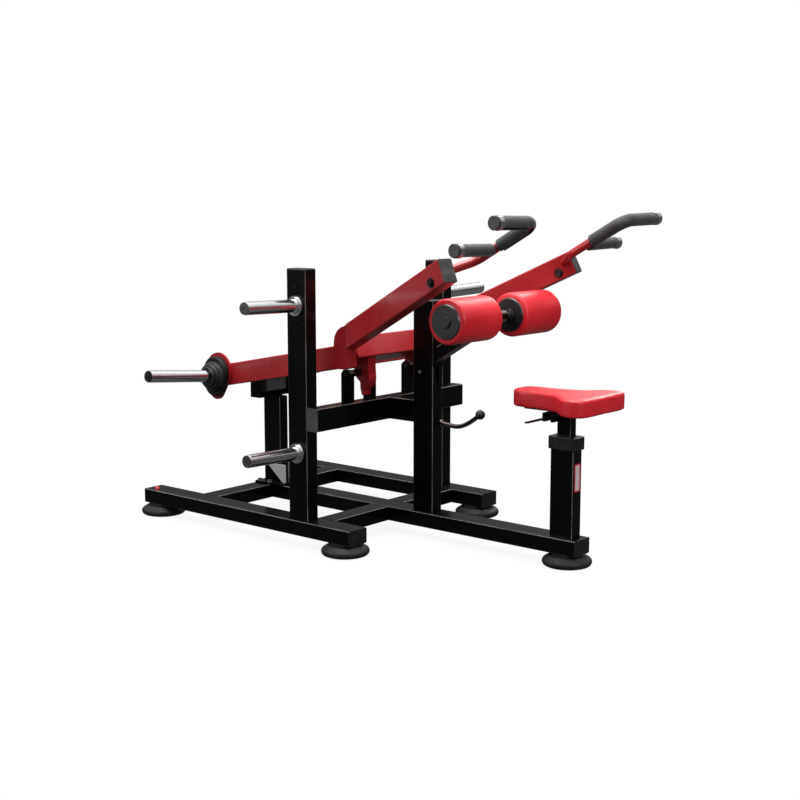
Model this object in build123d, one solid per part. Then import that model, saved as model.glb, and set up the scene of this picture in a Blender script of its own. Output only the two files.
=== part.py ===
from build123d import *
import math
import os

# Plate-loaded lat pulldown machine. Millimetres. +Z up, the seat end points along -Y,
# X runs across the machine. The numbers here count y from midway between the front and
# rear feet. Each piece is then moved back, so the stored origin is under the middle.

# ---- steel section stock -------------------------------------------------------------
tube_wall = 3.0
tube_corner = 5.0
cap_lip = 4.0
cap_plug = 16.0
plug_clearance = 0.3
touch_gap = 0.3
running_clearance = 0.05

# ---- base frame ----------------------------------------------------------------------
foot_height = 47.0
foot_radius = 93.5
foot_inset = 65.0
foot_neck_radius = 56.0
foot_bolt_radius = 6.0
base_height = 60.0
rail_width = 100.0
rail_centre_x = 421.0
rail_front_y = -230.0
rail_rear_y = 962.0
spine_width = 100.0
spine_front_y = -962.0
front_cross_y = -23.0
front_cross_width = 85.0
rear_cross_y = 648.0
rear_cross_width = 90.0

# ---- storage posts and beams ---------------------------------------------------------
post_width = 60.0
post_depth = 100.0
post_centre_x = 422.0
post_centre_y = 54.0
post_top_z = 1080.0
post_cap_height = 6.0
post_gusset = 42.0
mid_beam_top_z = 555.0
mid_beam_height = 90.0
mid_beam_depth = 60.0
column_centre_y = -228.0
column_width = 60.0
column_depth = 100.0
column_top_z = 950.0
plate_thickness = 8.0

# ---- weight horns --------------------------------------------------------------------
horn_radius = 25.0
storage_horn_length = 268.0
storage_horn_tilt = 1.5
upper_horn_z = 944.0
lower_horn_z = 372.0
horn_chamfer = 2.0
collar_radius = 39.0
collar_width = 9.0
inner_collar_radius = 33.0
inner_collar_width = 10.0
horn_plug_width = 5.0
horn_socket_radius = 16.0
horn_socket_depth = 30.0

# ---- rear upright and stop -----------------------------------------------------------
upright_centre_y = 628.0
upright_width = 50.0
upright_depth = 100.0
upright_top_z = 493.0
base_plate_half_x = 70.0
base_plate_front_y = 540.0
base_plate_rear_y = 692.0
bracket_half_x = 108.0
bracket_height = 102.0
bracket_depth = 56.0
stop_pad_half_x = 58.0
stop_pad_depth = 42.0
stop_pad_drop = 90.0
stop_gap = 0.5

# ---- main pivot ----------------------------------------------------------------------
pivot_z = 668.0
pivot_pin_radius = 10.0
bush_wall = 4.0
fork_inner_x = 108.0
fork_leg_thickness = 22.0
fork_leg_depth = 50.0
fork_outer_x = 238.0
fork_head = 16.0
ear_gap = 4.0
ear_thickness = 44.0
spacer_wall = 4.0

# ---- lever yoke ----------------------------------------------------------------------
arm_width = 60.0
arm_height = 90.0
rear_arm_centre_x = 270.0
rear_arm_start_y = -8.0
arm_over_pivot = 23.0
rear_arm_start_z = pivot_z + arm_over_pivot + arm_height / 2
rear_arm_fall = 11.0
horn_flange_y = 655.0
front_arm_end = Vector(409, -647, 1103)
front_arm_rise = 26.3
cross_beam_size = 90.0
cross_beam_y = -17.7
cross_beam_z = 755.4
tie_bar_depth = 60.0
tie_bar_height = 50.0
tie_bar_y = 630.0
tie_bar_bottom_z = 605.0
flange_thickness = 8.0
flange_height = 204.0
flange_width = 150.0
right_flange_share = 0.5
bumper_thickness = 24.0
hub_length = 44.0
hub_base_radius = 61.0
hub_middle_radius = 53.0
hub_nose_radius = 43.0
lever_horn_length = 352.0
lever_horn_tilt = 5.6

# ---- handles -------------------------------------------------------------------------
handle_radius = 16.0
handle_root = Vector(395, -600, 1088)
handle_elbow = Vector(299.5, -690, 1132)
handle_corner = Vector(298, -933, 1269)
handle_elbow_bend = 70.0
handle_bend = 50.0
upper_grip_tip = Vector(536, -934, 1273)
lower_grip_share = 0.3
lower_grip_tip = Vector(528, -764, 1177)
grip_radius = 24.5
grip_collar_radius = 26.0
grip_collar_width = 24.0
grip_cap_width = 6.0
foam_slit = 18.0
upper_foam_length = 162.0
lower_foam_start = 20.0

# ---- seat ----------------------------------------------------------------------------
seat_tower_y = -885.0
seat_tower_width = 60.0
seat_tower_depth = 100.0
seat_tower_top_z = 440.0
seat_collar_height = 46.0
seat_collar_margin = 11.0
seat_post_width = 40.0
seat_post_depth = 60.0
seat_post_bottom_z = 182.0
seat_plate_z = 578.0
seat_plate_thickness = 6.0
seat_pad_thickness = 64.0
seat_rear_y = -1056.0
seat_nose_y = -666.0
seat_rear_half = 168.0
seat_waist_half = 72.0
seat_nose_half = 62.0
seat_lever_z = 561.0
seat_lever_length = 190.0

# ---- thigh pads ----------------------------------------------------------------------
roller_radius = 85.0
roller_axis_y = -567.0
roller_axis_z = 909.0
roller_inner_x = 77.0
roller_outer_x = 317.0
roller_cap_radius = 65.0
axle_radius = 12.5
roller_core_radius = 21.0
pad_arm_size = 50.0
pad_arm_root_z = 745.0
carriage_height = 100.0
carriage_plate = 13.0
slot_half_width = 9.0
slot_travel = 60.0
release_lever_z = 471.0
release_knob = Vector(0, -490, 523)
release_rod_radius = 9.0

os.makedirs("parts", exist_ok=True)

# ---- derived places ------------------------------------------------------------------
base_top_z = foot_height + base_height
rail_inner_x = rail_centre_x - rail_width / 2
mid_beam_z = mid_beam_top_z - mid_beam_height / 2
post_front_y = post_centre_y - post_depth / 2
mid_beam_y = post_front_y - mid_beam_depth / 2
pivot_y = mid_beam_y
column_front_y = column_centre_y - column_depth / 2
column_rear_y = column_centre_y + column_depth / 2
release_hinge_y = column_front_y - 14
post_outer_x = post_centre_x + post_width / 2
rear_arm_inner_x = rear_arm_centre_x - arm_width / 2
rear_arm_outer_x = rear_arm_centre_x + arm_width / 2
rear_foot_edge = rail_rear_y - foot_inset + foot_radius
origin_shift = (-seat_rear_y - rear_foot_edge) / 2


def write(name, *solids):
    """Save the separate solids of one sub-part as one STEP file, moved to the stored origin."""
    moved = [Pos(0, origin_shift, 0) * solid for solid in solids]
    shape = moved[0] if len(moved) == 1 else Compound(children=moved)
    export_step(shape, f"parts/{name}.step")


def box(x0, x1, y0, y1, z0, z1):
    """A solid block between two corners."""
    block = Box(x1 - x0, y1 - y0, z1 - z0)
    return Pos((x0 + x1) / 2, (y0 + y1) / 2, (z0 + z1) / 2) * block


def rod(start, direction, radius, length):
    """A solid round bar from a point along a direction."""
    return extrude(Plane(origin=start, z_dir=direction) * Circle(radius), length)


def ring(start, direction, outer, inner, length):
    """A round sleeve from a point along a direction."""
    face = Circle(outer) - Circle(inner)
    return extrude(Plane(origin=start, z_dir=direction) * face, length)


def bar(plane, width, height, length):
    """A solid bar with rounded corners, its section in the given plane."""
    return extrude(plane * RectangleRounded(width, height, tube_corner), length)


def tube(plane, width, height, length):
    """A hollow steel section, its section in the given plane."""
    outside = RectangleRounded(width, height, tube_corner)
    inside = RectangleRounded(width - 2 * tube_wall, height - 2 * tube_wall, tube_corner - tube_wall)
    return extrude(plane * (outside - inside), length)


def tube_x(x0, x1, y, z, depth, height):
    """A hollow section running across the machine."""
    return tube(Plane(origin=(x0, y, z), x_dir=(0, 1, 0), z_dir=(1, 0, 0)), depth, height, x1 - x0)


def tube_y(x, y0, y1, z, width, height):
    """A hollow section running front to rear."""
    return tube(Plane(origin=(x, y0, z), x_dir=(1, 0, 0), z_dir=(0, 1, 0)), width, height, y1 - y0)


def tube_z(x, y, z0, z1, width, depth):
    """A hollow section standing upright."""
    return tube(Plane(origin=(x, y, z0), x_dir=(1, 0, 0), z_dir=(0, 0, 1)), width, depth, z1 - z0)


def end_cap(plane, width, height):
    """A plastic cap: a lip over a tube's end and a plug inside it. The plane faces out."""
    lip = bar(plane, width, height, cap_lip)
    inset = 2 * (tube_wall + plug_clearance)
    plug = RectangleRounded(width - inset, height - inset, tube_corner - tube_wall)
    return lip + extrude(plane * plug, -cap_plug)


def mirrored(shape):
    """The same shape on the other side of the machine."""
    return mirror(shape, about=Plane.YZ)


def both(shape):
    """A shape and its mirror image, as two solids."""
    return [shape, mirrored(shape)]


def side_profile(points, x0, thickness):
    """A plate cut to a side outline of (y, z) points, standing from x0 towards -X."""
    plane = Plane(origin=(x0, 0, 0), x_dir=(0, 1, 0), z_dir=(-1, 0, 0))
    local = [(y, -z) for y, z in points]
    return extrude(plane * make_face(Polyline(*local, close=True)), thickness)


# ---- base frame ----------------------------------------------------------------------
base_z = foot_height + base_height / 2
rail_start = rail_front_y + cap_lip
rail_end = rail_rear_y - cap_lip
spine_start = spine_front_y + cap_lip
rear_cross_front = rear_cross_y - rear_cross_width / 2
foot_places = [
    (-rail_centre_x, rail_front_y + foot_inset),
    (rail_centre_x, rail_front_y + foot_inset),
    (-rail_centre_x, rail_rear_y - foot_inset),
    (rail_centre_x, rail_rear_y - foot_inset),
    (0, spine_front_y + foot_inset),
]


def rubber_foot(x, y):
    """A round rubber foot with a bulging rim and a neck up to the tube."""
    rim = 13.0
    neck = 38.0
    shoulder = foot_radius - 22
    outline = Polyline((0, 0), (foot_radius - rim, 0))
    brow = (foot_radius - rim + 3, 2 * rim + 4)
    outline += ThreePointArc((foot_radius - rim, 0), (foot_radius, rim + 3), brow)
    outline += Polyline(brow, (shoulder, neck), (foot_neck_radius, neck),
                        (foot_neck_radius, foot_height), (0, foot_height), (0, 0))
    body = revolve(Plane.XZ * make_face(outline), Axis.Z)
    return Pos(x, y, 0) * body - rod((x, y, foot_height - 25), (0, 0, 1), foot_bolt_radius, 30)


def foot_bolt(x, y):
    """A stud moulded in the foot, with a washer and nut inside the tube."""
    floor = foot_height + tube_wall
    stud = rod((x, y, foot_height - 25), (0, 0, 1), foot_bolt_radius, 25 + tube_wall + 20)
    washer = rod((x, y, floor), (0, 0, 1), 15, 2.5)
    nut = extrude(Plane(origin=(x, y, floor + 2.5)) * RegularPolygon(10.5, 6), 10)
    return stud + washer + nut


def drilled_for_feet(shape):
    """Cut the foot bolt holes in a tube's lower wall."""
    for x, y in foot_places:
        shape = shape - rod((x, y, foot_height - 1), (0, 0, 1), foot_bolt_radius, tube_wall + 2)
    return shape


def base():
    rail = drilled_for_feet(tube_y(-rail_centre_x, rail_start, rail_end, base_z, rail_width, base_height))
    write("base_rails", *both(rail))
    spine = tube_y(0, spine_start, rear_cross_front, base_z, spine_width, base_height)
    write("base_spine", drilled_for_feet(spine))
    front = tube_x(spine_width / 2, rail_inner_x, front_cross_y, base_z, front_cross_width, base_height)
    rear = tube_x(-rail_inner_x, rail_inner_x, rear_cross_y, base_z, rear_cross_width, base_height)
    for x, y in plate_bolt_places:
        rear = rear - rod((x, y, base_top_z - 10), (0, 0, 1), plate_bolt_radius, 20)
    write("base_cross_members", *both(front), rear)

    caps = []
    for x in (-rail_centre_x, rail_centre_x):
        caps.append(end_cap(Plane(origin=(x, rail_start, base_z), x_dir=(1, 0, 0), z_dir=(0, -1, 0)),
                            rail_width, base_height))
        caps.append(end_cap(Plane(origin=(x, rail_end, base_z), x_dir=(1, 0, 0), z_dir=(0, 1, 0)),
                            rail_width, base_height))
    caps.append(end_cap(Plane(origin=(0, spine_start, base_z), x_dir=(1, 0, 0), z_dir=(0, -1, 0)),
                        spine_width, base_height))
    for x in (-post_centre_x, post_centre_x):
        caps.append(top_cap(x, post_centre_y, post_top_z, post_width, post_depth, post_cap_height))
    caps.append(top_cap(0, column_centre_y, column_top_z, column_width, column_depth, post_cap_height))
    write("tube_end_caps", *caps)
    dome = Pos(-rail_centre_x - 22, rail_rear_y - 50, base_top_z) * Sphere(11)
    write("rail_button", dome - box(-900, 0, 0, 1500, base_top_z - 20, base_top_z))
    write("rubber_feet", *[rubber_foot(x, y) for x, y in foot_places])


# ---- storage posts, beams and column -------------------------------------------------
def top_cap(x, y, z, width, depth, height):
    """A domed plastic cap on the top of an upright tube."""
    lip = bar(Plane(origin=(x, y, z)), width, depth, height)
    lip = fillet(lip.faces().sort_by(Axis.Z)[-1].edges(), height * 0.8)
    inset = 2 * (tube_wall + plug_clearance)
    plug = RectangleRounded(width - inset, depth - inset, tube_corner - tube_wall)
    return lip + extrude(Plane(origin=(x, y, z)) * plug, -cap_plug)


def posts():
    post = tube_z(-post_centre_x, post_centre_y, base_top_z, post_top_z, post_width, post_depth)
    write("storage_posts", *both(post))
    rear_y = post_centre_y + post_depth / 2
    outline = [(rear_y, base_top_z), (rear_y + post_gusset, base_top_z), (rear_y, base_top_z + post_gusset)]
    foot_gusset = side_profile(outline, -post_centre_x + plate_thickness / 2, plate_thickness)
    gusset_front = base_plate_front_y + 5
    gusset_top = plate_top_z + 78
    outline = [(upright_centre_y + 27, gusset_top), (gusset_front, gusset_top), (gusset_front, plate_top_z),
               (gusset_front + 14, plate_top_z)]
    write("gussets", *both(foot_gusset), *both(side_profile(outline, -upright_width / 2, plate_thickness)))


def beams():
    beam_end = post_outer_x
    write("mid_beam", tube_x(-beam_end, beam_end, mid_beam_y, mid_beam_z, mid_beam_depth, mid_beam_height))
    cap = end_cap(Plane(origin=(-beam_end, mid_beam_y, mid_beam_z), x_dir=(0, 1, 0), z_dir=(-1, 0, 0)),
                  mid_beam_depth, mid_beam_height)
    write("mid_beam_caps", *both(cap))
    beam_front = mid_beam_y - mid_beam_depth / 2
    write("column_beam", tube_y(0, column_rear_y, beam_front, mid_beam_z, column_width, mid_beam_height))

    column = tube_z(0, column_centre_y, base_top_z, column_top_z, column_width, column_depth)
    slot_top = pad_arm_root_z + carriage_height / 2 + slot_travel
    slot_bottom = pad_arm_root_z - carriage_height / 2 - slot_travel
    slot_rear_y = column_front_y + tube_wall + 1
    column = column - box(-slot_half_width, slot_half_width, column_front_y - 1, slot_rear_y, slot_bottom,
                          slot_top)
    cheek_low = release_lever_z - 14
    cheek = box(-18, -12, release_hinge_y - 10, column_front_y + 1, cheek_low, cheek_low + 28)
    pin = rod((-18, release_hinge_y, release_lever_z), (1, 0, 0), 4, 36)
    write("column", column + cheek + mirrored(cheek) + pin)


# ---- rear upright with the rubber stop -----------------------------------------------
plate_bolt_radius = 6.0
plate_bolt_places = [(x, rear_cross_y + y) for x in (-54, 54) for y in (-30, 30)]
plate_top_z = base_top_z + plate_thickness
bracket_rear_y = upright_centre_y + upright_depth / 2 - 6
bracket_front_y = bracket_rear_y - bracket_depth


def flange_bolt(x, y, z, radius, grip):
    """A hexagon bolt with a washer face, standing up from z, its shank going down."""
    washer = rod((x, y, z), (0, 0, 1), radius * 2, 2)
    head = extrude(Plane(origin=(x, y, z + 2)) * RegularPolygon(radius * 1.65, 6), radius * 1.1)
    return washer + head + rod((x, y, z - grip), (0, 0, 1), radius, grip)


def side_bolts():
    """The small round-headed screws on the outer sides of the posts and the column."""
    screws = []
    for x, y, z in ((-post_outer_x, post_centre_y, upper_horn_z - 68), (-post_outer_x, post_centre_y,
                                                                        upper_horn_z + 74),
                    (-column_width / 2, column_centre_y + 14, mid_beam_top_z + 115)):
        screws.append(rod((x, y, z), (-1, 0, 0), 7, 4))
    return screws + [mirrored(screw) for screw in screws]


def upright():
    write("rear_upright", tube_z(0, upright_centre_y, plate_top_z, upright_top_z, upright_width,
                                 upright_depth))
    plate = box(-base_plate_half_x, base_plate_half_x, base_plate_front_y, base_plate_rear_y,
                base_top_z, plate_top_z)
    for x, y in plate_bolt_places:
        plate = plate - rod((x, y, base_top_z - 1), (0, 0, 1), plate_bolt_radius, plate_thickness + 2)
    write("upright_base_plate", plate)
    grip = plate_thickness + tube_wall + 8
    bolts = [flange_bolt(x, y, plate_top_z, plate_bolt_radius, grip) for x, y in plate_bolt_places]
    write("frame_bolts", *bolts, *[foot_bolt(x, y) for x, y in foot_places], *side_bolts())

    floor = box(-bracket_half_x, bracket_half_x, bracket_front_y, bracket_rear_y,
                upright_top_z, upright_top_z + plate_thickness)
    back = box(-bracket_half_x, bracket_half_x, bracket_rear_y - plate_thickness, bracket_rear_y,
               upright_top_z, upright_top_z + bracket_height)
    wing = box(-bracket_half_x, -bracket_half_x + plate_thickness, bracket_front_y, bracket_rear_y,
               upright_top_z, upright_top_z + bracket_height)
    write("stop_bracket", floor + back + wing + mirrored(wing))
    pad_rear = bracket_rear_y - plate_thickness
    pad_top = tie_bar_bottom_z - stop_gap
    pad = box(-stop_pad_half_x, stop_pad_half_x, pad_rear - stop_pad_depth, pad_rear,
              pad_top - stop_pad_drop, pad_top)
    write("stop_pad", fillet(pad.edges().filter_by(Axis.X), 5))


# ---- weight horns --------------------------------------------------------------------
def outward(tilt):
    """The unit direction out to the left, tilted up by some degrees."""
    return Vector(-math.cos(math.radians(tilt)), 0, math.sin(math.radians(tilt)))


def weight_horn(root, direction, length, covered):
    """A solid round sleeve, thinner where it is covered, with a chamfered end and a socket."""
    horn = rod(root, direction, horn_radius - 1, covered)
    horn = horn + rod(root + direction * covered, direction, horn_radius, length - covered)
    tip = root + direction * length
    rim = horn.edges().filter_by(GeomType.CIRCLE).sort_by_distance(tip)[0]
    horn = chamfer(rim, horn_chamfer)
    return horn - rod(tip - direction * horn_socket_depth, direction, horn_socket_radius,
                      horn_socket_depth + 1)


def horn_plug(root, direction, length):
    """A plastic plug: a flange over the horn's end and a stem in its socket."""
    tip = root + direction * length
    stem = rod(tip - direction * (horn_socket_depth - 5), direction, horn_socket_radius - plug_clearance,
               horn_socket_depth - 5)
    face = rod(tip, direction, horn_radius - horn_chamfer, horn_plug_width)
    dimple = rod(tip + direction * (horn_plug_width - 2), direction, 6, 3)
    return stem + face - dimple


def storage_horns():
    direction = outward(storage_horn_tilt)
    horns = []
    collars = []
    plugs = []
    for z in (upper_horn_z, lower_horn_z):
        root = Vector(-post_outer_x, post_centre_y, z)
        flat = box(-post_outer_x, -post_outer_x + 40, post_centre_y - 60, post_centre_y + 60, z - 60, z + 60)
        back = root - direction * 5
        covered = collar_width + inner_collar_width
        outer = rod(back, direction, collar_radius, collar_width + 5)
        inner = rod(root, direction, inner_collar_radius, covered)
        horn = weight_horn(back, direction, storage_horn_length + 5, covered + 5)
        collars.append(outer + inner - flat - horn)
        horns.append(horn - flat)
        plugs.append(horn_plug(back, direction, storage_horn_length + 5))
    write("storage_horns", *horns, mirrored(horns[0]))
    write("storage_horn_collars", *collars, mirrored(collars[0]))
    write("storage_horn_plugs", *plugs, mirrored(plugs[0]))


# ---- main pivot ----------------------------------------------------------------------
ear_inner_x = fork_inner_x + fork_leg_thickness + ear_gap
ear_outer_x = ear_inner_x + ear_thickness


def fork_leg(outer_x):
    """One upright plate of the pivot fork, its top corners cut off, bored for the pin."""
    half = fork_leg_depth / 2
    top = pivot_z + fork_head
    cut = 13.0
    outline = [(pivot_y - half, mid_beam_top_z), (pivot_y + half, mid_beam_top_z), (pivot_y + half,
                                                                                    top - cut),
               (pivot_y + half - cut, top), (pivot_y - half + cut, top), (pivot_y - half, top - cut)]
    leg = side_profile(outline, -(outer_x - fork_leg_thickness), fork_leg_thickness)
    return leg - rod((-outer_x - 1, pivot_y, pivot_z), (1, 0, 0), pivot_pin_radius, fork_leg_thickness + 2)


def pivot_pin(inner_x, outer_x, head):
    """A pivot pin with a round head on its outer end."""
    pin = rod((-inner_x, pivot_y, pivot_z), (-1, 0, 0), pivot_pin_radius, outer_x - inner_x)
    return pin + rod((-outer_x, pivot_y, pivot_z), (-1, 0, 0), pivot_pin_radius + 3, head)


def pivot_bush(x0, x1):
    """A plain bearing bush pressed in a lug of the lever."""
    return ring((-x0, pivot_y, pivot_z), (-1, 0, 0), pivot_pin_radius + bush_wall,
                pivot_pin_radius + running_clearance, x1 - x0)


def pivots():
    legs = [fork_leg(fork_inner_x + fork_leg_thickness), fork_leg(fork_outer_x + fork_leg_thickness)]
    write("pivot_forks", *legs, *[mirrored(leg) for leg in legs])
    pin = pivot_pin(fork_inner_x, fork_outer_x + fork_leg_thickness, 5)
    spacer = ring((-ear_outer_x - 2, pivot_y, pivot_z), (-1, 0, 0), pivot_pin_radius + spacer_wall,
                  pivot_pin_radius, fork_outer_x - ear_outer_x - 3)
    write("pivot_pins", *both(pin), *both(spacer))
    write("pivot_bushes", *both(pivot_bush(ear_inner_x, ear_outer_x)))


# ---- lever yoke ----------------------------------------------------------------------
rise = math.radians(front_arm_rise)
fall = math.radians(rear_arm_fall)
beam_up = Vector(0, math.sin(rise), math.cos(rise))
beam_back = Vector(0, math.cos(rise), -math.sin(rise))
rear_run = Vector(0, math.cos(fall), -math.sin(fall))


def rear_arm_z(y):
    """The height of the rear arm's centre line at some y."""
    return rear_arm_start_z - (y - rear_arm_start_y) * math.tan(fall)


knee_top = Vector(-rear_arm_centre_x, -52, 812)
front_run = Vector(-front_arm_end.X, front_arm_end.Y, front_arm_end.Z) - knee_top
front_run = front_run.normalized()
front_side = front_run.cross(Vector(0, 0, 1)).normalized()
end_cap_origin = Vector(-front_arm_end.X, front_arm_end.Y, front_arm_end.Z)
front_plane = Plane(origin=knee_top, x_dir=front_side, z_dir=front_run)
front_length = (end_cap_origin - knee_top).length
front_level = math.hypot(front_run.X, front_run.Y)
knee_front_y = -66.0


def knee_block():
    """The welded elbow that joins a front arm, a rear arm and the cross beam."""
    up = Vector(0, math.sin(fall), math.cos(fall))
    start = Vector(0, rear_arm_start_y, rear_arm_start_z)
    top = start + up * (arm_height / 2)
    low = start - up * (arm_height / 2)
    crown_rear = (top.Y - 1, top.Z + 22)
    crown_mid = (top.Y - 17, top.Z + 59)
    crown_front = (top.Y - 54, top.Z + 81)
    outline = Polyline((low.Y, low.Z), (top.Y, top.Z), crown_rear)
    outline += ThreePointArc(crown_rear, crown_mid, crown_front)
    front_y = knee_front_y
    front_top = knee_top.Z + (knee_top.Y - front_y) * front_run.Z / -front_run.Y + arm_height / 2 / front_level
    outline += Polyline(crown_front, (front_y, front_top), (front_y, 700), (front_y + 12, low.Z), (low.Y,
                                                                                                   low.Z))
    plane = Plane(origin=(-rear_arm_inner_x, 0, 0), x_dir=(0, 1, 0), z_dir=(-1, 0, 0))
    flipped = mirror(outline, about=Plane.XZ)
    return extrude(plane * make_face(flipped), arm_width)


def ear():
    """The hooked lug under the cross beam that turns on the inner pivot pin."""
    under = Vector(0, cross_beam_y, cross_beam_z) - (beam_up + beam_back) * (cross_beam_size / 2)
    front = under + beam_back * 8
    rear = under + beam_back * 82
    outline = Polyline((rear.Y, -rear.Z), (front.Y, -front.Z), (pivot_y - 47, -pivot_z + 4))
    outline += ThreePointArc((pivot_y - 47, -pivot_z + 4), (pivot_y - 44, -pivot_z + 44),
                             (pivot_y - 20, -pivot_z + 70))
    outline += Polyline((pivot_y - 20, -pivot_z + 70), (pivot_y - 18, -pivot_z + 90), (pivot_y - 11,
                                                                                       -pivot_z + 91),
                        (pivot_y - 3, -pivot_z + 66), (pivot_y - 2, -pivot_z + 40), (pivot_y + 16,
                                                                                     -pivot_z + 24))
    outline += ThreePointArc((pivot_y + 16, -pivot_z + 24), (pivot_y + 29, -pivot_z), (rear.Y, -rear.Z))
    plane = Plane(origin=(-ear_inner_x, 0, 0), x_dir=(0, 1, 0), z_dir=(-1, 0, 0))
    body = extrude(plane * make_face(outline), ear_thickness)
    bore = rod((-ear_inner_x + 1, pivot_y, pivot_z), (-1, 0, 0), pivot_pin_radius + bush_wall,
               ear_thickness + 2)
    return body - bore


def lever():
    knee = knee_block()
    rear = tube(Plane(origin=(-rear_arm_centre_x, rear_arm_start_y, rear_arm_start_z), x_dir=(1, 0, 0),
                      z_dir=rear_run), arm_width, arm_height, (horn_flange_y + 34 - rear_arm_start_y) / math.cos(fall))
    write("rear_arm_left", rear)
    write("rear_arm_right", mirrored(rear))
    write("arm_knees", *both(knee))
    write("pivot_lugs", *both(ear()))
    front = tube(front_plane, arm_width, arm_height, front_length - cap_lip)
    front = front - knee_space(knee)
    write("front_arm_left", front)
    write("front_arm_right", mirrored(front))
    cap = end_cap(Plane(origin=end_cap_origin - front_run * cap_lip, x_dir=front_side, z_dir=front_run),
                  arm_width, arm_height)
    write("arm_end_caps", *both(fillet(cap.faces().sort_by_distance(end_cap_origin)[0].edges(), 2.5)))

    plane = Plane(origin=(-rear_arm_inner_x, cross_beam_y, cross_beam_z), x_dir=beam_back, z_dir=(1, 0, 0))
    write("cross_beam", tube(plane, cross_beam_size, cross_beam_size, 2 * rear_arm_inner_x))
    write("rear_tie_bar", tube_x(-rear_arm_inner_x, rear_arm_inner_x, tie_bar_y,
                                 tie_bar_bottom_z + tie_bar_height / 2, tie_bar_depth, tie_bar_height))


def knee_space(knee):
    """The knee and all that is behind its front face, where the front arm stops."""
    behind = box(-rear_arm_outer_x - 80, -rear_arm_inner_x + 80, knee_front_y, 300, 500, 1000)
    return knee + behind


def lever_horn(share):
    """The flange, bumper, hub, horn and plug on the rear end of an arm, drawn on the left."""
    centre = Vector(-rear_arm_outer_x, horn_flange_y, rear_arm_z(horn_flange_y) + 2)
    side = Plane(origin=centre, x_dir=(0, 1, 0), z_dir=(-1, 0, 0))
    upper = Pos(0, -22 * share) * Circle(flange_width * share / 2)
    lower = Pos(14 * share, 56 * share) * Circle((flange_height / 2 - 56) * share)
    flange = extrude(side * make_hull([*upper.edges(), *lower.edges()]), flange_thickness)
    shell = side.offset(flange_thickness)
    oval_top = Pos(4 * share, -14 * share) * Circle((flange_width / 2 - 8) * share)
    oval_low = Pos(8 * share, 26 * share) * Circle((flange_width / 2 - 14) * share)
    bumper = extrude(shell * make_hull([*oval_top.edges(), *oval_low.edges()]), bumper_thickness)
    bumper = chamfer(bumper.faces().sort_by(Axis.X)[0].edges(), 5)
    direction = outward(lever_horn_tilt)
    face = centre + Vector(-flange_thickness - bumper_thickness, 0, 0)
    steps = [(hub_base_radius, hub_length * 0.45, 4), (hub_middle_radius, hub_length * 0.78, 4),
             (hub_nose_radius, hub_length, 3)]
    hub = Part()
    for radius, reach, bevel in steps:
        step = rod(face, (-1, 0, 0), max(radius * share, horn_radius + 6), reach)
        hub += chamfer(step.faces().sort_by(Axis.X)[0].edges(), bevel)
    hub = hub - rod(face + Vector(-hub_length + 6, 0, 0), (-1, 0, 0), hub_nose_radius - 9, 7)
    horn = weight_horn(face, direction, lever_horn_length, hub_length)
    horn = horn - box(face.X, face.X + 40, 500, 800, 400, 800)
    plug = horn_plug(face, direction, lever_horn_length)
    return flange, bumper, hub - horn, horn, plug


def lever_horns():
    flange, bumper, hub, horn, plug = lever_horn(1)
    right = [mirrored(piece) for piece in lever_horn(right_flange_share)]
    write("horn_flanges", flange, right[0])
    write("horn_bumpers", bumper, right[1])
    write("horn_hubs", hub, right[2])
    write("lever_horns", horn, right[3])
    write("lever_horn_plugs", plug, right[4])


# ---- handles -------------------------------------------------------------------------
def left(point):
    """A point of the right side taken to the left side."""
    return Vector(-point.X, point.Y, point.Z)


def grip_end(start, tip):
    """The metal collar and the end cap on the outer end of a grip."""
    run = (tip - start).normalized()
    length = (tip - start).length
    collar_start = length - grip_cap_width - grip_collar_width
    collar = ring(start + run * collar_start, run, grip_collar_radius, handle_radius, grip_collar_width)
    cap = rod(start + run * (length - grip_cap_width), run, grip_collar_radius - 1, grip_cap_width)
    cap = chamfer(cap.faces().sort_by_distance(tip)[0].edges(), 2)
    return collar, cap, start + run * collar_start


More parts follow.
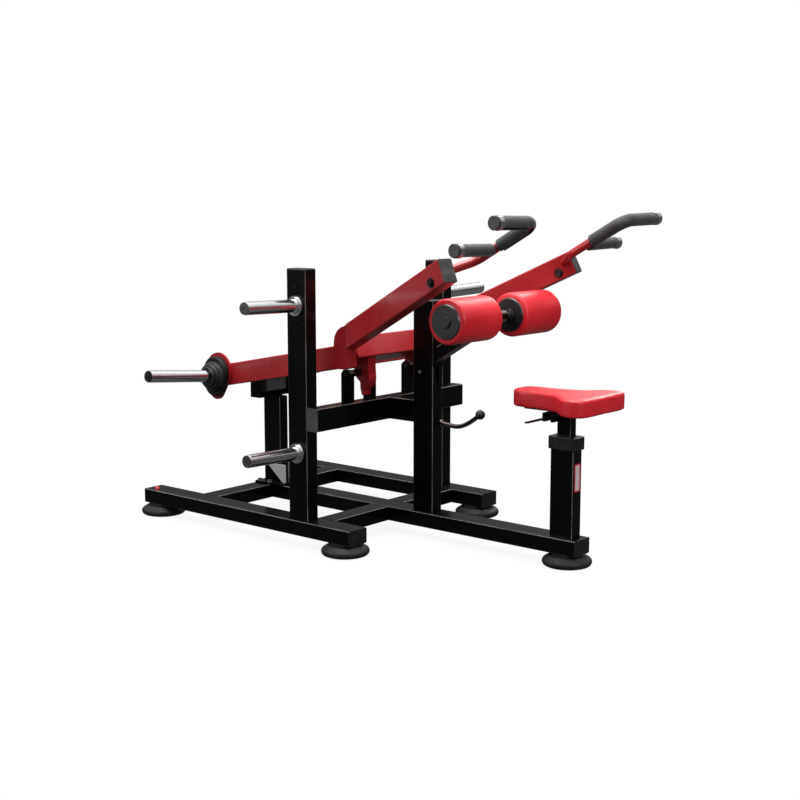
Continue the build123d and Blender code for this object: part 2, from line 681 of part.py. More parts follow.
def handles(front_arm_envelope):
    """The bent handle tube and its branch, with foam, collars and end caps."""
    root = left(handle_root)
    elbow = left(handle_elbow)
    corner = left(handle_corner)
    tip = left(upper_grip_tip)
    collar, cap, foam_end = grip_end(corner, tip)
    tube_end = tip - (tip - corner).normalized() * grip_cap_width
    path = FilletPolyline(root, elbow, corner, tube_end, radius=[handle_elbow_bend, handle_bend])
    plane = Plane(origin=root, z_dir=elbow - root)
    outside = sweep(plane * Circle(handle_radius), path=path)
    handle = sweep(plane * (Circle(handle_radius) - Circle(handle_radius - tube_wall)), path=path)

    slope = (corner - elbow).normalized()
    branch = elbow + (corner - elbow) * lower_grip_share
    low_tip = left(lower_grip_tip)
    low_run = (low_tip - branch).normalized()
    low_length = (low_tip - branch).length - grip_cap_width
    low_tube = ring(branch, low_run, handle_radius, handle_radius - tube_wall, low_length)
    write("handle_left", handle - front_arm_envelope, low_tube - outside)
    write("handle_right", mirrored(handle - front_arm_envelope), mirrored(low_tube - outside))

    foam_start = corner - slope * upper_foam_length
    foam_path = FilletPolyline(foam_start, corner, foam_end, radius=handle_bend)
    foam_plane = Plane(origin=foam_start, x_dir=(1, 0, 0), z_dir=slope)
    foam = sweep(foam_plane * (Circle(grip_radius) - Circle(handle_radius)), path=foam_path)
    below = -foam_plane.y_dir if foam_plane.y_dir.Z > 0 else foam_plane.y_dir
    slit_plane = Plane(origin=foam_start + below * grip_radius, x_dir=(1, 0, 0), z_dir=slope)
    slit = sweep(slit_plane * Rectangle(foam_slit, 22), path=foam_path)
    low_collar, low_cap, low_foam_end = grip_end(branch, low_tip)
    low_foam = ring(branch + low_run * lower_foam_start, low_run, grip_radius - 2, handle_radius,
                    (low_foam_end - branch).length - lower_foam_start) - outside
    write("foam_grips", foam - slit, mirrored(foam), *both(low_foam))
    write("grip_collars", *both(collar), *both(low_collar))
    write("grip_end_caps", *both(cap), *both(low_cap))


def arm_bolt(side):
    """The big bolt head with its washer on one face of a front arm, near its end."""
    place = end_cap_origin - front_run * 72 + front_plane.y_dir * 17
    out = front_plane.x_dir * side
    face = place + out * (arm_width / 2)
    washer = ring(face, out, 18, 9, 3)
    head = extrude(Plane(origin=face + out * 3, z_dir=out) * RegularPolygon(13, 6), 8)
    return washer + head


# ---- seat ----------------------------------------------------------------------------
def seat_outline():
    """Half of the seat's plan: a wide rear, a narrow waist and a rounded nose."""
    rear = seat_rear_y
    nose = seat_nose_y
    edge = Spline((0, rear), (seat_rear_half - 60, rear + 1), (seat_rear_half - 18, rear + 14),
                  (seat_rear_half - 2, rear + 48), (seat_rear_half - 9, rear + 92),
                  (seat_waist_half + 32, rear + 152), (seat_waist_half + 4, rear + 228),
                  (seat_nose_half + 4, rear + 306), (seat_nose_half - 1, nose - 34),
                  (seat_nose_half - 14, nose - 9), (seat_nose_half - 34, nose - 1), (0, nose),
                  tangents=[(1, 0), (-1, 0)])
    half = make_face(edge + Line((0, nose), (0, rear)))
    return half + mirror(half, about=Plane.YZ)


def seat():
    tower = tube_z(0, seat_tower_y, base_top_z, seat_tower_top_z, seat_tower_width, seat_tower_depth)
    write("seat_tower", tower)
    plane = Plane(origin=(0, seat_tower_y, seat_tower_top_z))
    slide_gap = 2 * touch_gap
    opening = extrude(plane.offset(-80) * Rectangle(seat_post_width + slide_gap,
                                                    seat_post_depth + slide_gap), 200)
    margin = 2 * seat_collar_margin
    lip = extrude(plane * RectangleRounded(seat_tower_width + margin, seat_tower_depth + margin, 20),
                  seat_collar_height)
    lip = fillet(lip.faces().sort_by(Axis.Z)[-1].edges(), 3)
    inset = 2 * (tube_wall + plug_clearance)
    guide = extrude(plane * RectangleRounded(seat_tower_width - inset, seat_tower_depth - inset, 2), -60)
    write("seat_tower_collar", lip + guide - opening)
    label_front = seat_tower_y - seat_tower_depth / 2
    label = extrude(Plane(origin=(0, label_front, 335), x_dir=(1, 0, 0), z_dir=(0, -1, 0))
                    * RectangleRounded(38, 106, 8), 0.8)
    write("blank_label", label)

    post = tube_z(0, seat_tower_y, seat_post_bottom_z, seat_plate_z, seat_post_width, seat_post_depth)
    write("seat_inner_post", post)
    plate_top = seat_plate_z + seat_plate_thickness
    plate = box(-105, 105, seat_rear_y + 55, seat_rear_y + 160, seat_plate_z, plate_top)
    tongue = box(-45, 45, seat_rear_y + 160, seat_nose_y - 60, seat_plate_z, plate_top)
    housing_rear = seat_tower_y + seat_post_depth / 2 + 22
    housing = box(-84, -seat_post_width / 2, seat_tower_y + 4, housing_rear, seat_plate_z - 32, seat_plate_z)
    slot = box(-85, -24, seat_tower_y + 16, housing_rear - 12, seat_plate_z - 33, seat_plate_z - 4)
    pin_y = (seat_tower_y + 16 + housing_rear - 12) / 2
    pin = rod((-34, seat_tower_y + 4, seat_lever_z), (0, 1, 0), 4, housing_rear - seat_tower_y - 4)
    write("seat_plate", plate + tongue + (housing - slot) + pin)
    lever_half = (housing_rear - 12 - seat_tower_y - 16) / 2 - 2
    root = rod((-34, pin_y - lever_half, seat_lever_z), (0, 1, 0), 9, 2 * lever_half)
    blade = box(-seat_lever_length - 34, -40, pin_y - 7, pin_y + 7, seat_lever_z - 2.5, seat_lever_z + 2.5)
    blade = fillet(blade.edges().filter_by(Axis.Z), 5)
    hole = rod((-34, pin_y - 40, seat_lever_z), (0, 1, 0), 4 + running_clearance, 80)
    write("seat_release_lever", root + blade - hole)
    write("seat_pad", extrude(Plane(origin=(0, 0, plate_top)) * seat_outline(), seat_pad_thickness))
    bolts = [(x, y) for x, y in ((-80, seat_rear_y + 108), (80, seat_rear_y + 108))]
    heads = [rod((x, y, seat_plate_z), (0, 0, -1), 13, 7) for x, y in bolts]
    write("seat_bolt_caps", *[fillet(h.faces().sort_by(Axis.Z)[0].edges(), 3) for h in heads])


# ---- thigh pads ----------------------------------------------------------------------
def thigh_pads():
    plate_rear = column_front_y - touch_gap
    plate_front = plate_rear - carriage_plate
    half = carriage_height / 2
    plate = box(-column_width / 2, column_width / 2, plate_front, plate_rear, pad_arm_root_z - half,
                pad_arm_root_z + half)
    neck_half = slot_half_width - 1
    inner_face = column_front_y + tube_wall + touch_gap
    neck = box(-neck_half, neck_half, plate_rear - 1, inner_face + 1, pad_arm_root_z - half,
               pad_arm_root_z + half)
    block_half = column_width / 2 - tube_wall - 1.5
    block = box(-block_half, block_half, inner_face, inner_face + 28, pad_arm_root_z - half,
                pad_arm_root_z + half)
    write("pad_carriage", plate + neck + block)

    root = Vector(0, plate_front, pad_arm_root_z)
    axis_point = Vector(0, roller_axis_y, roller_axis_z)
    run = (axis_point - root).normalized()
    section = Plane(origin=root - run * 60, x_dir=(1, 0, 0), z_dir=run)
    arm = tube(section, pad_arm_size, pad_arm_size, (axis_point - root).length + 60)
    keep_out = box(-100, 100, plate_front, 0, 0, 2000)
    boss = rod((-pad_arm_size / 2 - 8, roller_axis_y, roller_axis_z), (1, 0, 0), axle_radius + 12,
               pad_arm_size + 16)
    axle = rod((-roller_outer_x + 12, roller_axis_y, roller_axis_z), (1, 0, 0), axle_radius,
               2 * roller_outer_x - 24)
    write("pad_arm", arm - keep_out - boss, boss - axle)
    write("roller_axle", axle)

    foam_start = Vector(-roller_inner_x, roller_axis_y, roller_axis_z)
    foam_length = roller_outer_x - roller_inner_x
    foam = ring(foam_start, (-1, 0, 0), roller_radius, roller_core_radius, foam_length)
    foam = fillet(foam.edges().filter_by(GeomType.CIRCLE).group_by(SortBy.RADIUS)[-1], 8)
    core = ring(foam_start, (-1, 0, 0), roller_core_radius, axle_radius + running_clearance, foam_length)
    write("roller_foam_left", foam)
    write("roller_foam_right", mirrored(foam))
    outer = roller_cap(Vector(-roller_outer_x, roller_axis_y, roller_axis_z), Vector(-1, 0, 0), True)
    inner = roller_cap(foam_start, Vector(1, 0, 0), False)
    write("roller_hub_left", core, outer, inner)
    write("roller_hub_right", mirrored(core), mirrored(outer), mirrored(inner))


def roller_cap(face, out, closed):
    """A dished plastic cap with a raised boss on a roller's end."""
    cap = extrude(Plane(origin=face, z_dir=out) * Circle(roller_cap_radius), 5, taper=35)
    boss_radius = 27.0
    cap = cap + extrude(Plane(origin=face, z_dir=out) * Circle(boss_radius), 13, taper=20)
    if closed:
        return cap
    return cap - rod(face - out, out, axle_radius + running_clearance, 20)


def pad_release():
    """The curved rod and ball knob of the thigh pad release lever."""
    hinge_y = release_hinge_y
    boss = rod((-10.5, hinge_y, release_lever_z), (1, 0, 0), 12, 21)
    start = Vector(0, hinge_y - 4, release_lever_z)
    bend = Vector(0, hinge_y - 90, release_lever_z - 6)
    path = Spline(start, bend, release_knob, tangents=[(0, -1, -0.1), (0, -1, 0.75)])
    curved = sweep(Plane(origin=start, z_dir=path % 0) * Circle(release_rod_radius), path=path)
    hole = rod((-30, hinge_y, release_lever_z), (1, 0, 0), 4 + running_clearance, 60)
    write("pad_release_lever", boss + curved - hole)
    run = path % 1
    knob = Pos(release_knob.X, release_knob.Y, release_knob.Z) * Sphere(19)
    write("release_knob", knob - rod(release_knob - run * 40, run, release_rod_radius, 40))


base()
posts()
beams()
upright()
storage_horns()
pivots()
lever()
lever_horns()
handles(bar(front_plane, arm_width, arm_height, front_length))
write("arm_bolts", *both(arm_bolt(1)), *both(arm_bolt(-1)))
seat()
thigh_pads()
pad_release()
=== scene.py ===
import math

import bpy
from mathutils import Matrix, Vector


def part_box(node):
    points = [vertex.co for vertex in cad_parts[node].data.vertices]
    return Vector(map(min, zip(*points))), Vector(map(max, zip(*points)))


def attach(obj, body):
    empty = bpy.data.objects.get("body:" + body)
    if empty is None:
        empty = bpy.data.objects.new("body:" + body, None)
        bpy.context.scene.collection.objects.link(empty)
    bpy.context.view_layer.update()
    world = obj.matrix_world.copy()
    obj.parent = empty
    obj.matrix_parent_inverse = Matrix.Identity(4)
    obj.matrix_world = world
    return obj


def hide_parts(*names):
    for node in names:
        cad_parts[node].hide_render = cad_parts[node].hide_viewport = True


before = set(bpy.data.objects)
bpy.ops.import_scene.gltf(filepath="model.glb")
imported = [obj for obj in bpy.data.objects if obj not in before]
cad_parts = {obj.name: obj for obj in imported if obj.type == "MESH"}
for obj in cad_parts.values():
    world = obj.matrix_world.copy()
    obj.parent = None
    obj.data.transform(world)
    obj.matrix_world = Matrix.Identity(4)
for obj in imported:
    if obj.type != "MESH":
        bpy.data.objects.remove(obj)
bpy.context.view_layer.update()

# ---- Studio --------------------------------------------------------------------------
# A white floor and backdrop with one large overhead softbox, a window light on the left,
# a weak fill in front and a narrow rim light on the right. The camera stands off the
# machine's front left corner and looks slightly down.
heading = math.radians(40.0)
dip = math.radians(8.7)
camera_place = (-4.1491, -3.5339, 1.3699)
lens_length = 60.88
sensor_width = 36.0
bpy.ops.object.camera_add(location=camera_place)
camera = bpy.context.object
level_look = math.cos(dip)
look = Vector((math.cos(heading) * level_look, math.sin(heading) * level_look, -math.sin(dip)))
camera.rotation_euler = look.to_track_quat("-Z", "Y").to_euler()
camera.data.lens = lens_length
camera.data.sensor_width = sensor_width
bpy.context.scene.camera = camera
bpy.context.scene.view_settings.view_transform = "Standard"


def softbox(name, place, aim, size, watts):
    bpy.ops.object.light_add(type="AREA", location=place)
    lamp = bpy.context.object
    lamp.name = name
    lamp.data.shape = "RECTANGLE"
    lamp.data.size = size[0]
    lamp.data.size_y = size[1]
    lamp.data.energy = watts
    lamp.rotation_euler = (Vector(aim) - Vector(place)).to_track_quat("-Z", "Y").to_euler()


softbox("overhead", place=(-0.3, 0.1, 3.6), aim=(0, 0, 0.5), size=(2.4, 2.4), watts=150)
softbox("window", place=(-3.2, 1.6, 1.9), aim=(0, 0, 0.8), size=(1.2, 2.0), watts=34)
softbox("fill", place=(-1.2, -4.2, 2.3), aim=(0, -0.3, 0.6), size=(1.6, 1.0), watts=62)
softbox("rim", place=(3.2, 0.4, 2.4), aim=(0, 0, 0.8), size=(0.5, 2.0), watts=34)


def wire(tree, start, end):
    tree.links.new(start, end)


def ramp(tree, value, low, high, to_low=0.0, to_high=1.0):
    node = tree.nodes.new("ShaderNodeMapRange")
    wire(tree, value, node.inputs["Value"])
    limits = {"From Min": low, "From Max": high, "To Min": to_low, "To Max": to_high}
    for socket, number in limits.items():
        node.inputs[socket].default_value = number
    return node.outputs["Result"]


def reckon(tree, operation, first, second=None):
    node = tree.nodes.new("ShaderNodeMath")
    node.operation = operation
    wire(tree, first, node.inputs[0])
    if second is not None:
        wire(tree, second, node.inputs[1])
    return node.outputs["Value"]


# The backdrop is plain white to the eye. What the paint and the chrome reflect is a room
# that is dark low down and bright at the ceiling.
studio = bpy.data.worlds.new("studio")
bpy.context.scene.world = studio
studio.use_nodes = True
sky = studio.node_tree
backdrop = sky.nodes["Background"]
backdrop.inputs["Color"].default_value = (1.0, 1.0, 1.0, 1.0)
seen = sky.nodes.new("ShaderNodeLightPath")
heading_up = sky.nodes.new("ShaderNodeSeparateXYZ")
wire(sky, sky.nodes.new("ShaderNodeTexCoord").outputs["Generated"], heading_up.inputs["Vector"])
wall_light, ceiling_light = 0.05, 1.3
ceiling = ramp(sky, heading_up.outputs["Z"], 0.15, 0.85, wall_light, ceiling_light)
level = sky.nodes.new("ShaderNodeMix")
level.inputs["B"].default_value = 1.0
wire(sky, seen.outputs["Is Camera Ray"], level.inputs["Factor"])
wire(sky, ceiling, level.inputs["A"])
wire(sky, level.outputs["Result"], backdrop.inputs["Strength"])

# The floor is a glowing sheet of paper: white to the eye, with a painted contact shadow
# right under the feet, and dim in what the gloss paint reflects.
floor_size = 60
contact_reach = 0.12
contact_shade = 0.88
reflected_floor = 0.1
bpy.ops.mesh.primitive_plane_add(size=floor_size, location=(0, 0, 0))
floor = bpy.context.object
floor.name = "studio_floor"
paper = bpy.data.materials.new("studio_floor")
paper.use_nodes = True
sheet = paper.node_tree
sheet.nodes.remove(sheet.nodes["Principled BSDF"])
glow = sheet.nodes.new("ShaderNodeEmission")
shade = sheet.nodes.new("ShaderNodeAmbientOcclusion")
shade.inputs["Distance"].default_value = contact_reach
shade.samples = 8
# Ambient occlusion dims the glow near the feet: a painted contact shadow.
contact = ramp(sheet, shade.outputs["AO"], 0.1, 0.75, contact_shade, 1.0)
seen = sheet.nodes.new("ShaderNodeLightPath")
dimmed = ramp(sheet, seen.outputs["Is Camera Ray"], 0.0, 1.0, reflected_floor, 1.0)
wire(sheet, reckon(sheet, "MULTIPLY", dimmed, contact), glow.inputs["Strength"])
wire(sheet, glow.outputs["Emission"], sheet.nodes["Material Output"].inputs["Surface"])
floor.data.materials.append(paper)

# ---- Black steel frame ---------------------------------------------------------------
# Welded rectangular steel tube: rails, spine, cross members, posts, beams, column, rear
# upright and pivot forks. Gloss black powder coat with a fine orange peel skin. The pale
# lines along the tube corners are a painted highlight, a tan colour laid on the corners.


def shader_group(name, inputs, outputs):
    tree = bpy.data.node_groups.new(name, "ShaderNodeTree")
    for label, start in inputs:
        socket = tree.interface.new_socket(label, in_out="INPUT", socket_type="NodeSocketFloat")
        socket.default_value = start
    for label in outputs:
        tree.interface.new_socket(label, in_out="OUTPUT", socket_type="NodeSocketFloat")
    return tree, tree.nodes.new("NodeGroupInput"), tree.nodes.new("NodeGroupOutput")


def noise(tree, scale, detail, vector):
    node = tree.nodes.new("ShaderNodeTexNoise")
    node.inputs["Scale"].default_value = scale
    node.inputs["Detail"].default_value = detail
    wire(tree, vector, node.inputs["Vector"])
    return node.outputs["Fac"]


# Orange peel: the height of a sprayed skin, and a slow cloudiness of its gloss.
peel, peel_in, peel_out = shader_group("orange_peel", [("Fineness", 420.0)], ["Height", "Cloud"])
peel_place = peel.nodes.new("ShaderNodeTexCoord")
peel_grain = peel.nodes.new("ShaderNodeTexNoise")
peel_grain.inputs["Detail"].default_value = 1.5
wire(peel, peel_place.outputs["Object"], peel_grain.inputs["Vector"])
wire(peel, peel_in.outputs["Fineness"], peel_grain.inputs["Scale"])
wire(peel, peel_grain.outputs["Fac"], peel_out.inputs["Height"])
peel_cloud = noise(peel, scale=5.0, detail=4.0, vector=peel_place.outputs["Object"])
wire(peel, ramp(peel, peel_cloud, 0.35, 0.68), peel_out.inputs["Cloud"])

# Painted corner highlight: a mask where the surface turns over a tube's rounded corner,
# found from its normal, for the pale painted highlight. A slow noise breaks the line up.
glint, glint_in, glint_out = shader_group("painted_corner_glint", [("Reach", 0.93)], ["Mask"])
glint_place = glint.nodes.new("ShaderNodeTexCoord")
glint_split = glint.nodes.new("ShaderNodeSeparateXYZ")
wire(glint, glint_place.outputs["Normal"], glint_split.inputs["Vector"])
glint_x, glint_y, glint_z = (reckon(glint, "ABSOLUTE", glint_split.outputs[axis]) for axis in "XYZ")
glint_flat = reckon(glint, "MAXIMUM", reckon(glint, "MAXIMUM", glint_x, glint_y), glint_z)
glint_step = glint.nodes.new("ShaderNodeMapRange")
glint_step.inputs["To Min"].default_value = 1.0
glint_step.inputs["To Max"].default_value = 0.0
glint_step.inputs["From Min"].default_value = 0.72
wire(glint, glint_in.outputs["Reach"], glint_step.inputs["From Max"])
wire(glint, glint_flat, glint_step.inputs["Value"])
glint_noise = noise(glint, scale=9.0, detail=3.0, vector=glint_place.outputs["Object"])
glint_patches = ramp(glint, glint_noise, 0.3, 0.6, 0.35, 1.0)
glint_mask = reckon(glint, "MULTIPLY", glint_step.outputs["Result"], glint_patches)
wire(glint, glint_mask, glint_out.inputs["Mask"])


def new_finish(name, colour, roughness, metallic=0.0):
    finish = bpy.data.materials.new(name)
    finish.use_nodes = True
    skin = finish.node_tree.nodes["Principled BSDF"]
    skin.inputs["Base Color"].default_value = (*colour, 1)
    skin.inputs["Roughness"].default_value = roughness
    skin.inputs["Metallic"].default_value = metallic
    return finish, finish.node_tree, skin


def use(tree, group, **values):
    node = tree.nodes.new("ShaderNodeGroup")
    node.node_tree = group
    for label, number in values.items():
        node.inputs[label].default_value = number
    return node.outputs


def blend_colour(tree, skin, mask, first, second):
    mix = tree.nodes.new("ShaderNodeMix")
    mix.data_type = "RGBA"
    mix.inputs[6].default_value = (*first, 1)
    mix.inputs[7].default_value = (*second, 1)
    wire(tree, mask, mix.inputs[0])
    wire(tree, mix.outputs[2], skin.inputs["Base Color"])


def vary_gloss(tree, skin, mask, low, high):
    wire(tree, ramp(tree, mask, 0.0, 1.0, low, high), skin.inputs["Roughness"])


def raise_skin(tree, skin, height, depth, strength):
    bump = tree.nodes.new("ShaderNodeBump")
    bump.inputs["Distance"].default_value = depth
    bump.inputs["Strength"].default_value = strength
    wire(tree, height, bump.inputs["Height"])
    wire(tree, bump.outputs["Normal"], skin.inputs["Normal"])


def dress(finish, *nodes):
    for name in nodes:
        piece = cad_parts[name]
        piece.data.materials.clear()
        piece.data.materials.append(finish)


black_powder, tree, skin = new_finish("black_powder_coat", (0.004, 0.0045, 0.005), 0.3)
skin.inputs["Coat Weight"].default_value = 0.12
skin.inputs["Coat Roughness"].default_value = 0.08
skin.inputs["Specular IOR Level"].default_value = 0.12
peel_use = use(tree, peel, Fineness=430.0)
glint_use = use(tree, glint, Reach=0.95)
# Tan painted highlight on the tube corners, over the near black coat.
blend_colour(tree, skin, glint_use["Mask"], (0.0012, 0.0013, 0.0014), (0.26, 0.21, 0.18))
vary_gloss(tree, skin, peel_use["Cloud"], low=0.22, high=0.34)
raise_skin(tree, skin, peel_use["Height"], depth=0.0001, strength=0.2)
dress(black_powder, "base_rails", "base_cross_members", "base_spine", "storage_posts", "mid_beam",
      "column_beam", "column", "rear_upright", "upright_base_plate", "stop_bracket", "pivot_forks",
      "seat_tower", "seat_inner_post", "seat_plate", "seat_release_lever", "pad_carriage", "pad_arm",
      "pad_release_lever")

# ---- Gussets -------------------------------------------------------------------------
# Cut steel plates welded at the foot of the posts, black, and at the foot of the rear
# upright, left in a light grey coat.
gusset_coat, tree, skin = new_finish("gusset_coat", (0.5, 0.5, 0.51), 0.45)
place = tree.nodes.new("ShaderNodeTexCoord")
split = tree.nodes.new("ShaderNodeSeparateXYZ")
wire(tree, place.outputs["Object"], split.inputs["Vector"])
at_rear = ramp(tree, split.outputs["Y"], 0.3, 0.31)
blend_colour(tree, skin, at_rear, (0.006, 0.006, 0.007), (0.42, 0.41, 0.41))
peel_use = use(tree, peel, Fineness=380.0)
vary_gloss(tree, skin, peel_use["Cloud"], low=0.35, high=0.5)
raise_skin(tree, skin, peel_use["Height"], depth=0.0003, strength=0.4)
dress(gusset_coat, "gussets")

# ---- Moulded plastic caps ------------------------------------------------------------
# Push-in polyethylene caps that close every open tube, in near black, and paler grey on
# the lever's arms and the middle beam, with the release knob, the roller hubs and the two
# red buttons. Their faces have the fine spark texture of the mould.
spark, spark_in, spark_out = shader_group("spark_texture", [("Fineness", 900.0)], ["Height", "Scuff"])
spark_place = spark.nodes.new("ShaderNodeTexCoord")
spark_cells = spark.nodes.new("ShaderNodeTexVoronoi")
wire(spark, spark_place.outputs["Object"], spark_cells.inputs["Vector"])
wire(spark, spark_in.outputs["Fineness"], spark_cells.inputs["Scale"])
wire(spark, spark_cells.outputs["Distance"], spark_out.inputs["Height"])
spark_rubs = noise(spark, scale=28.0, detail=6.0, vector=spark_place.outputs["Object"])
wire(spark, ramp(spark, spark_rubs, 0.42, 0.72), spark_out.inputs["Scuff"])


def moulded(name, dark, pale, roughness, *nodes):
    finish, tree, skin = new_finish(name, dark, roughness)
    grain = use(tree, spark, Fineness=900.0)
    blend_colour(tree, skin, grain["Scuff"], dark, pale)
    vary_gloss(tree, skin, grain["Scuff"], low=roughness - 0.06, high=roughness + 0.1)
    raise_skin(tree, skin, grain["Height"], depth=0.0002, strength=0.4)
    dress(finish, *nodes)


moulded("dark_cap_plastic", (0.004, 0.004, 0.0045), (0.011, 0.011, 0.012), 0.38,
        "tube_end_caps", "seat_tower_collar", "release_knob", "roller_hub_left", "roller_hub_right",
        "grip_end_caps", "lever_horn_plugs")
moulded("grey_cap_plastic", (0.035, 0.034, 0.034), (0.06, 0.058, 0.057), 0.45,
        "mid_beam_caps", "storage_horn_plugs", "arm_end_caps")
moulded("red_button_plastic", (0.45, 0.02, 0.02), (0.55, 0.05, 0.04), 0.35,
        "rail_button", "seat_bolt_caps")

# ---- Blank label ---------------------------------------------------------------------
# A printed plastic film stuck flat on the front of the seat tower: a red border round a
# pale, empty middle.
label, tree, skin = new_finish("label_film", (0.6, 0.06, 0.08), 0.35)
low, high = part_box("blank_label")
border = 0.005
print_edge = 0.001
place = tree.nodes.new("ShaderNodeTexCoord")
split = tree.nodes.new("ShaderNodeSeparateXYZ")
wire(tree, place.outputs["Object"], split.inputs["Vector"])
inside = None
for axis, index in (("X", 0), ("Z", 2)):
    for start, step in ((low[index] + border, print_edge), (high[index] - border, -print_edge)):
        edge = ramp(tree, split.outputs[axis], start, start + step)
        inside = edge if inside is None else reckon(tree, "MULTIPLY", inside, edge)
blend_colour(tree, skin, inside, (0.6, 0.02, 0.03), (0.62, 0.5, 0.5))
peel_use = use(tree, peel, Fineness=300.0)
vary_gloss(tree, skin, peel_use["Cloud"], low=0.3, high=0.42)
dress(label, "blank_label")

# ---- Rubber feet, stop pad and bumpers -----------------------------------------------
# Moulded rubber: five wide feet with a bulging rim, the block that the lever lands on,
# and the cushions behind the weight plates. Matt, with dust in the skin.


def rubbery(name, dark, dusty, *nodes):
    finish, tree, skin = new_finish(name, dark, 0.6)
    skin.inputs["Specular IOR Level"].default_value = 0.3
    grain = use(tree, spark, Fineness=600.0)
    blend_colour(tree, skin, grain["Scuff"], dark, dusty)
    vary_gloss(tree, skin, grain["Scuff"], low=0.5, high=0.72)
    raise_skin(tree, skin, grain["Height"], depth=0.0004, strength=0.35)
    dress(finish, *nodes)


rubbery("foot_rubber", (0.009, 0.009, 0.0095), (0.02, 0.02, 0.021), "rubber_feet")
rubbery("stop_rubber", (0.05, 0.05, 0.052), (0.075, 0.075, 0.077), "stop_pad")
rubbery("bumper_rubber", (0.004, 0.004, 0.0045), (0.01, 0.01, 0.011), "horn_bumpers")

# ---- Weight horns --------------------------------------------------------------------
# Turned steel bars, ground and chrome plated, with chromed collars or stepped iron hubs at
# their roots. Fine turning lines run round each bar, and the plates leave light scuffs.
lathe, lathe_in, lathe_out = shader_group("turning_lines", [("Pitch", 900.0)], ["Height", "Scuff"])
lathe_place = lathe.nodes.new("ShaderNodeTexCoord")
lathe_squeeze = lathe.nodes.new("ShaderNodeMapping")
lathe_squeeze.inputs["Scale"].default_value = (1.0, 0.02, 0.02)
wire(lathe, lathe_place.outputs["Object"], lathe_squeeze.inputs["Vector"])
lathe_rings = lathe.nodes.new("ShaderNodeTexNoise")
lathe_rings.inputs["Detail"].default_value = 2.0
wire(lathe, lathe_squeeze.outputs["Vector"], lathe_rings.inputs["Vector"])
wire(lathe, lathe_in.outputs["Pitch"], lathe_rings.inputs["Scale"])
wire(lathe, lathe_rings.outputs["Fac"], lathe_out.inputs["Height"])
lathe_rubs = noise(lathe, scale=40.0, detail=5.0, vector=lathe_place.outputs["Object"])
wire(lathe, ramp(lathe, lathe_rubs, 0.45, 0.75), lathe_out.inputs["Scuff"])


def turned(name, bright, worn, low, high, *nodes):
    finish, tree, skin = new_finish(name, bright, low, 1.0)
    lines = use(tree, lathe, Pitch=900.0)
    blend_colour(tree, skin, lines["Scuff"], bright, worn)
    vary_gloss(tree, skin, lines["Scuff"], low=low, high=high)
    raise_skin(tree, skin, lines["Height"], depth=0.00001, strength=0.08)
    dress(finish, *nodes)


turned("horn_chrome", (0.84, 0.84, 0.86), (0.74, 0.74, 0.76), 0.16, 0.22,
       "storage_horns", "lever_horns", "storage_horn_collars")
moulded("hub_iron", (0.012, 0.012, 0.013), (0.026, 0.026, 0.028), 0.34, "horn_hubs")

# ---- Turned fittings -----------------------------------------------------------------
# The bare steel roller axle and grip collars, the blackened pivot pins and arm bolt heads,
# and the bronze bushes that the lever's pivot lugs turn on.
turned("turned_steel", (0.68, 0.68, 0.7), (0.55, 0.55, 0.57), 0.26, 0.36,
       "roller_axle", "grip_collars")
turned("black_steel", (0.05, 0.05, 0.055), (0.1, 0.1, 0.105), 0.3, 0.45,
       "pivot_pins", "arm_bolts")
turned("bush_bronze", (0.55, 0.36, 0.17), (0.4, 0.26, 0.13), 0.3, 0.45, "pivot_bushes")

# ---- Frame bolts ---------------------------------------------------------------------
# Zinc plated heads on the column and the rear upright, and blackened ones out on the two
# storage posts and the rails.
bolt_zinc, tree, skin = new_finish("bolt_zinc", (0.4, 0.39, 0.38), 0.34, 0.9)
place = tree.nodes.new("ShaderNodeTexCoord")
split = tree.nodes.new("ShaderNodeSeparateXYZ")
wire(tree, place.outputs["Object"], split.inputs["Vector"])
off_centre = reckon(tree, "ABSOLUTE", split.outputs["X"])
out_on_posts = ramp(tree, off_centre, 0.3, 0.31)
blend_colour(tree, skin, out_on_posts, (0.42, 0.4, 0.39), (0.012, 0.012, 0.013))
lines = use(tree, lathe, Pitch=700.0)
vary_gloss(tree, skin, lines["Scuff"], low=0.28, high=0.42)
raise_skin(tree, skin, lines["Height"], depth=0.00002, strength=0.2)
dress(bolt_zinc, "frame_bolts")

# ---- Red lever -----------------------------------------------------------------------
# The swinging yoke: two rear arms, two front arms, the welded elbows that join them, a
# cross beam, a tie bar, the hooked pivot lugs and the bent handle tubes. Gloss red
# powder coat, a little deeper where the spray is thick.
red_powder, tree, skin = new_finish("red_powder_coat", (0.3, 0.012, 0.02), 0.32)
skin.inputs["Coat Weight"].default_value = 0.3
skin.inputs["Coat Roughness"].default_value = 0.12
peel_use = use(tree, peel, Fineness=430.0)
blend_colour(tree, skin, peel_use["Cloud"], (0.31, 0.009, 0.013), (0.38, 0.012, 0.017))
vary_gloss(tree, skin, peel_use["Cloud"], low=0.27, high=0.4)
raise_skin(tree, skin, peel_use["Height"], depth=0.0003, strength=0.35)
dress(red_powder, "cross_beam", "front_arm_left", "front_arm_right", "arm_knees", "rear_arm_left",
      "rear_arm_right", "rear_tie_bar", "pivot_lugs", "handle_left", "handle_right", "horn_flanges")

# ---- Grips ---------------------------------------------------------------------------
# Closed cell foam sleeves pulled over the handle tubes: soft, matt, dark grey, with fine
# open pores in the skin.
foam, tree, skin = new_finish("grip_foam", (0.03, 0.031, 0.034), 0.7)
pores = use(tree, spark, Fineness=1100.0)
blend_colour(tree, skin, pores["Scuff"], (0.026, 0.027, 0.03), (0.045, 0.046, 0.05))
raise_skin(tree, skin, pores["Height"], depth=0.0005, strength=0.5)
skin.inputs["Sheen Weight"].default_value = 0.25
skin.inputs["Sheen Roughness"].default_value = 0.4
dress(foam, "foam_grips")

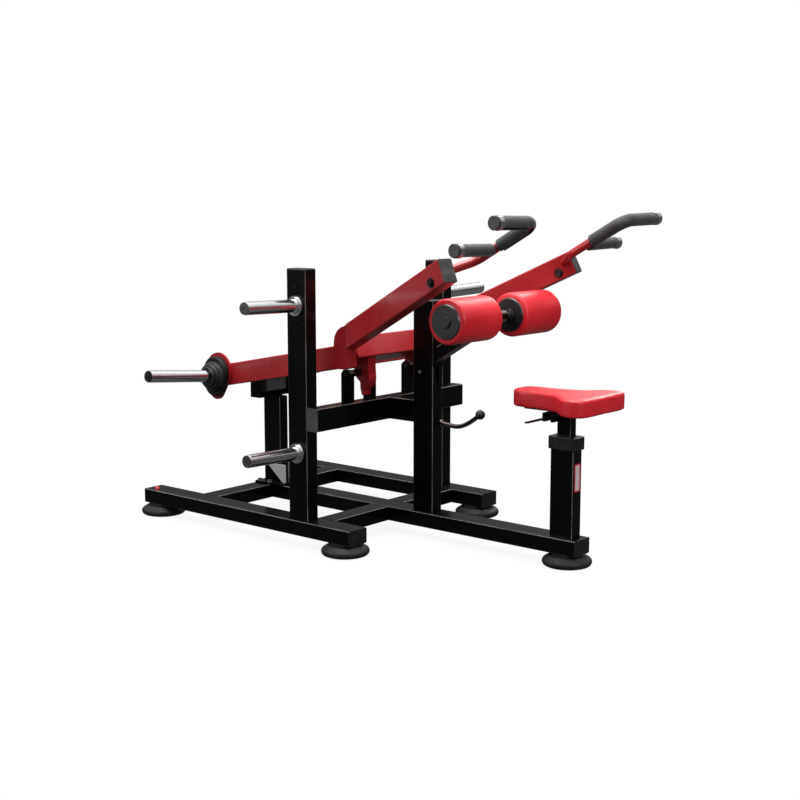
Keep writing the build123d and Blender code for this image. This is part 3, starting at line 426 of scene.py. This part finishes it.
# ---- Upholstery ----------------------------------------------------------------------
# The seat and the two thigh rollers: moulded foam in red vinyl, tight, with a leather
# grain. Each starts a little small and is then blown up against its own cover.
vinyl, tree, skin = new_finish("red_vinyl", (0.5, 0.014, 0.035), 0.36)
place = tree.nodes.new("ShaderNodeTexCoord")
hide = tree.nodes.new("ShaderNodeTexVoronoi")
hide.feature = "DISTANCE_TO_EDGE"
hide.inputs["Scale"].default_value = 520.0
warp = tree.nodes.new("ShaderNodeVectorMath")
warp.operation = "MULTIPLY_ADD"
warp.inputs[1].default_value = (0.0016, 0.0016, 0.0016)
wobble = tree.nodes.new("ShaderNodeTexNoise")
wobble.inputs["Scale"].default_value = 140.0
wire(tree, place.outputs["Object"], wobble.inputs["Vector"])
wire(tree, wobble.outputs["Color"], warp.inputs[0])
wire(tree, place.outputs["Object"], warp.inputs[2])
wire(tree, warp.outputs["Vector"], hide.inputs["Vector"])
hide_pebbles = ramp(tree, hide.outputs["Distance"], 0.0, 0.12)
raise_skin(tree, skin, hide_pebbles, depth=0.0002, strength=0.35)
patina_cloud = noise(tree, scale=7.0, detail=4.0, vector=place.outputs["Object"])
patina = ramp(tree, patina_cloud, 0.35, 0.68)
blend_colour(tree, skin, patina, (0.56, 0.008, 0.016), (0.66, 0.012, 0.022))
vary_gloss(tree, skin, patina, low=0.4, high=0.5)
skin.inputs["Coat Weight"].default_value = 0.15
skin.inputs["Coat Roughness"].default_value = 0.25

cover_facet = 0.005
first_smoothing = 3
last_smoothing = 7
cover_pressure = 4.0
blow_steps = 20


def upholster(node, name, body, shrink, swell):
    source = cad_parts[node]
    bpy.ops.object.select_all(action="DESELECT")
    pad = source.copy()
    pad.data = source.data.copy()
    pad.parent = None
    pad.name = name
    pad.data.name = name
    bpy.context.scene.collection.objects.link(pad)
    pad.hide_set(False)
    pad.select_set(True)
    bpy.context.view_layer.objects.active = pad
    low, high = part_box(node)
    centre = (Vector(low) + Vector(high)) / 2
    for point in pad.data.vertices:
        point.co = centre + Vector([(point.co[i] - centre[i]) * shrink[i] for i in range(3)])
    cover = pad.modifiers.new("cover", "REMESH")
    cover.mode = "VOXEL"
    cover.voxel_size = cover_facet
    bpy.ops.object.modifier_apply(modifier="cover")
    relax = pad.modifiers.new("relax", "SMOOTH")
    relax.iterations = first_smoothing
    bpy.ops.object.modifier_apply(modifier="relax")
    rest = [point.co.copy() for point in pad.data.vertices]
    blow = pad.modifiers.new("blow", "CLOTH")
    blow.settings.use_pressure = True
    blow.settings.uniform_pressure_force = cover_pressure
    blow.settings.effector_weights.gravity = 0
    for step in range(1, blow_steps + 1):
        bpy.context.scene.frame_set(step)
    shaped = pad.evaluated_get(bpy.context.evaluated_depsgraph_get()).data
    blown = [point.co.copy() for point in shaped.vertices]
    pad.modifiers.remove(blow)
    bpy.context.scene.frame_set(1)
    for point, start, end in zip(pad.data.vertices, rest, blown):
        move = end - start
        if move.length > swell:
            move = move.normalized() * swell
        point.co = start + move
    settle = pad.modifiers.new("settle", "SMOOTH")
    settle.iterations = last_smoothing
    bpy.ops.object.modifier_apply(modifier="settle")
    fine = pad.modifiers.new("fine", "SUBSURF")
    fine.levels = 1
    fine.render_levels = 1
    bpy.ops.object.modifier_apply(modifier="fine")
    bpy.ops.object.shade_smooth()
    pad.data.materials.clear()
    pad.data.materials.append(vinyl)
    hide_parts(node)
    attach(pad, body)


upholster("roller_foam_left", "roller_cover_left", "roller_left", (0.99, 1.0, 1.0), 0.006)
upholster("roller_foam_right", "roller_cover_right", "roller_right", (0.99, 1.0, 1.0), 0.006)
upholster("seat_pad", "seat_cover", "seat", (0.995, 0.995, 0.98), 0.003)

# ---- Smooth shading ------------------------------------------------------------------
# Round bars, bends and moulded caps show as smooth, with crisp edges kept.
crisp_edge = math.radians(32)
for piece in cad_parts.values():
    if piece.type == "MESH" and not piece.hide_render:
        bpy.ops.object.select_all(action="DESELECT")
        piece.select_set(True)
        bpy.context.view_layer.objects.active = piece
        bpy.ops.object.shade_smooth_by_angle(angle=crisp_edge)
